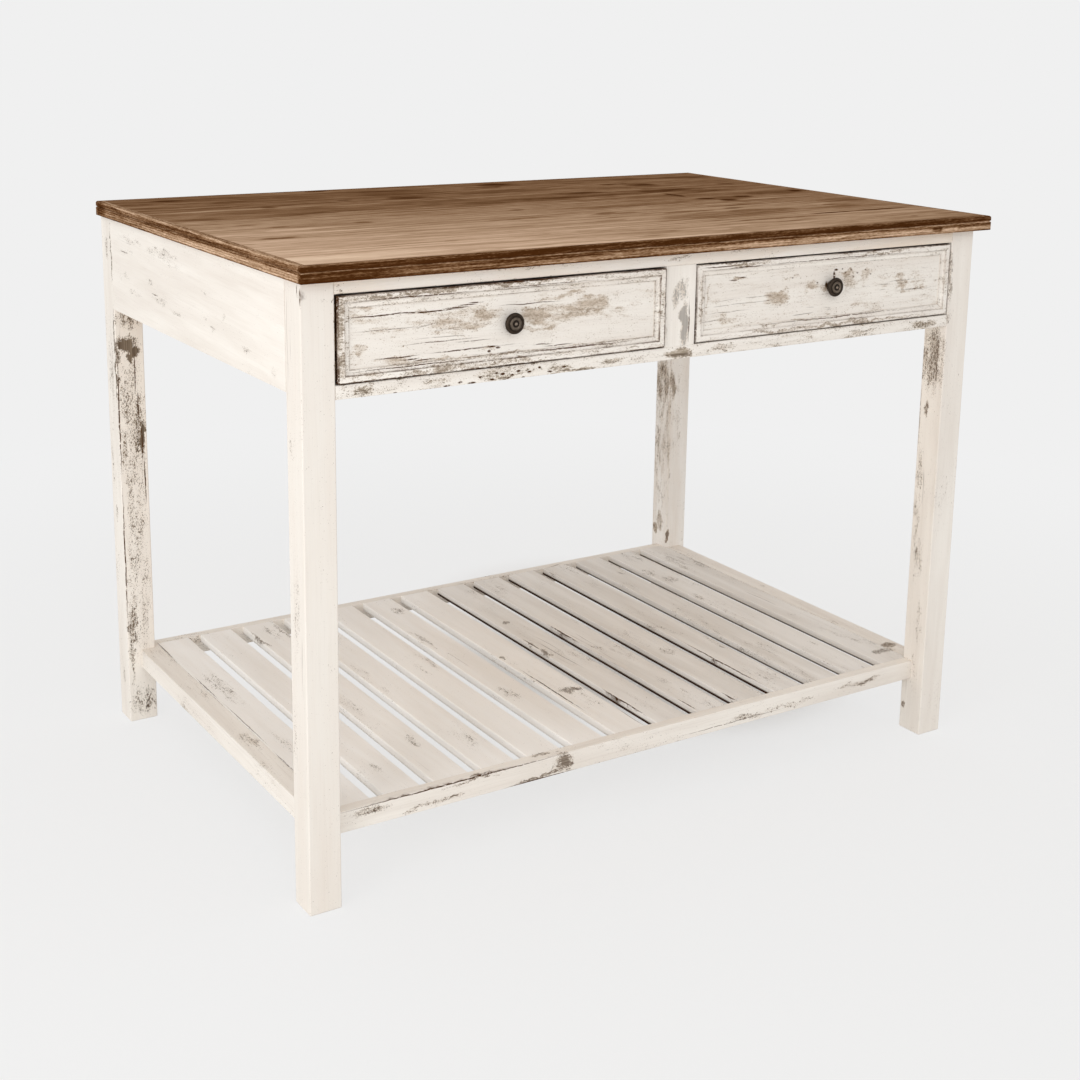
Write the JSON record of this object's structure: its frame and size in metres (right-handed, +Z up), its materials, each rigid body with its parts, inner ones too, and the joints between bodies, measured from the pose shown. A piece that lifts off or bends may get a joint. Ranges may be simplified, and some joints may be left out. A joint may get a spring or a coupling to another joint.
{
  "type": "kitchen table with drawers",
  "caption": "Worktop-height wooden kitchen table with square legs, a pair of drawers in the front and a slatted shelf near the floor.",
  "frame": {"origin": "on the floor, under the centre of the top", "axes": "+Z up, +X along the length to the right of a person who faces the drawers, +Y from the drawer side to the back"},
  "size_m": [1.22, 0.81, 0.9],
  "materials": {
    "paint_legs": "cream chalk paint over pine, rubbed through and matt",
    "paint_rails": "cream chalk paint over pine, rubbed through and matt",
    "paint_ends": "cream chalk paint over pine, matt",
    "paint_slats": "cream chalk paint over pine, speckled and matt",
    "paint_drawer_fronts": "cream chalk paint over pine, cracked along the grain",
    "paint_mouldings": "cream chalk paint over pine, rubbed through and matt",
    "top_boards": "pine, stained mid brown with dark grain, waxed",
    "top_lipping": "pine, stained dark brown, waxed",
    "drawer_box": "bare planed pine",
    "drawer_bottom": "bare plywood",
    "runners": "bare planed pine",
    "knobs": "dark bronzed iron, slightly glossy",
    "screws": "zinc plated"
  },
  "bodies": {
    "table_frame": {"leg_front_left": "paint_legs", "leg_front_right": "paint_legs", "leg_back_left": "paint_legs", "leg_back_right": "paint_legs", "drawer_divider": "paint_legs", "front_rail_top": "paint_rails", "front_rail_bottom": "paint_rails", "apron_back": "paint_rails", "shelf_rail_front": "paint_rails", "shelf_rail_back": "paint_rails", "apron_left": "paint_ends", "apron_right": "paint_ends", "shelf_rail_left": "paint_ends", "shelf_rail_right": "paint_ends", "shelf_slat_01": "paint_slats", "shelf_slat_02": "paint_slats", "shelf_slat_03": "paint_slats", "shelf_slat_04": "paint_slats", "shelf_slat_05": "paint_slats", "shelf_slat_06": "paint_slats", "shelf_slat_07": "paint_slats", "shelf_slat_08": "paint_slats", "shelf_slat_09": "paint_slats", "shelf_slat_10": "paint_slats", "shelf_slat_11": "paint_slats", "shelf_slat_12": "paint_slats", "shelf_slat_13": "paint_slats", "shelf_slat_14": "paint_slats", "top_board_1": "top_boards", "top_board_2": "top_boards", "top_board_3": "top_boards", "top_board_4": "top_boards", "top_lipping_front": "top_lipping", "top_lipping_back": "top_lipping", "top_lipping_left": "top_lipping", "top_lipping_right": "top_lipping", "drawer_runner_left": "runners", "drawer_runner_centre": "runners", "drawer_runner_right": "runners", "drawer_kicker_left": "runners", "drawer_kicker_centre": "runners", "drawer_kicker_right": "runners", "drawer_stops": "runners", "top_screws": "screws"},
    "left_drawer": {"left_drawer_front": "paint_drawer_fronts", "left_drawer_moulding": "paint_mouldings", "left_drawer_side_left": "drawer_box", "left_drawer_side_right": "drawer_box", "left_drawer_back": "drawer_box", "left_drawer_bottom": "drawer_bottom", "left_drawer_knob": "knobs", "left_drawer_knob_screw": "screws"},
    "right_drawer": {"right_drawer_front": "paint_drawer_fronts", "right_drawer_moulding": "paint_mouldings", "right_drawer_side_left": "drawer_box", "right_drawer_side_right": "drawer_box", "right_drawer_back": "drawer_box", "right_drawer_bottom": "drawer_bottom", "right_drawer_knob": "knobs", "right_drawer_knob_screw": "screws"}
  },
  "joints": [
    {"name": "left_drawer_slide", "type": "slide", "parent": "table_frame", "child": "left_drawer", "axis": [0, -1, 0], "range_m": [0, 0.42]},
    {"name": "right_drawer_slide", "type": "slide", "parent": "table_frame", "child": "right_drawer", "axis": [0, -1, 0], "range_m": [0, 0.42]}
  ]
}
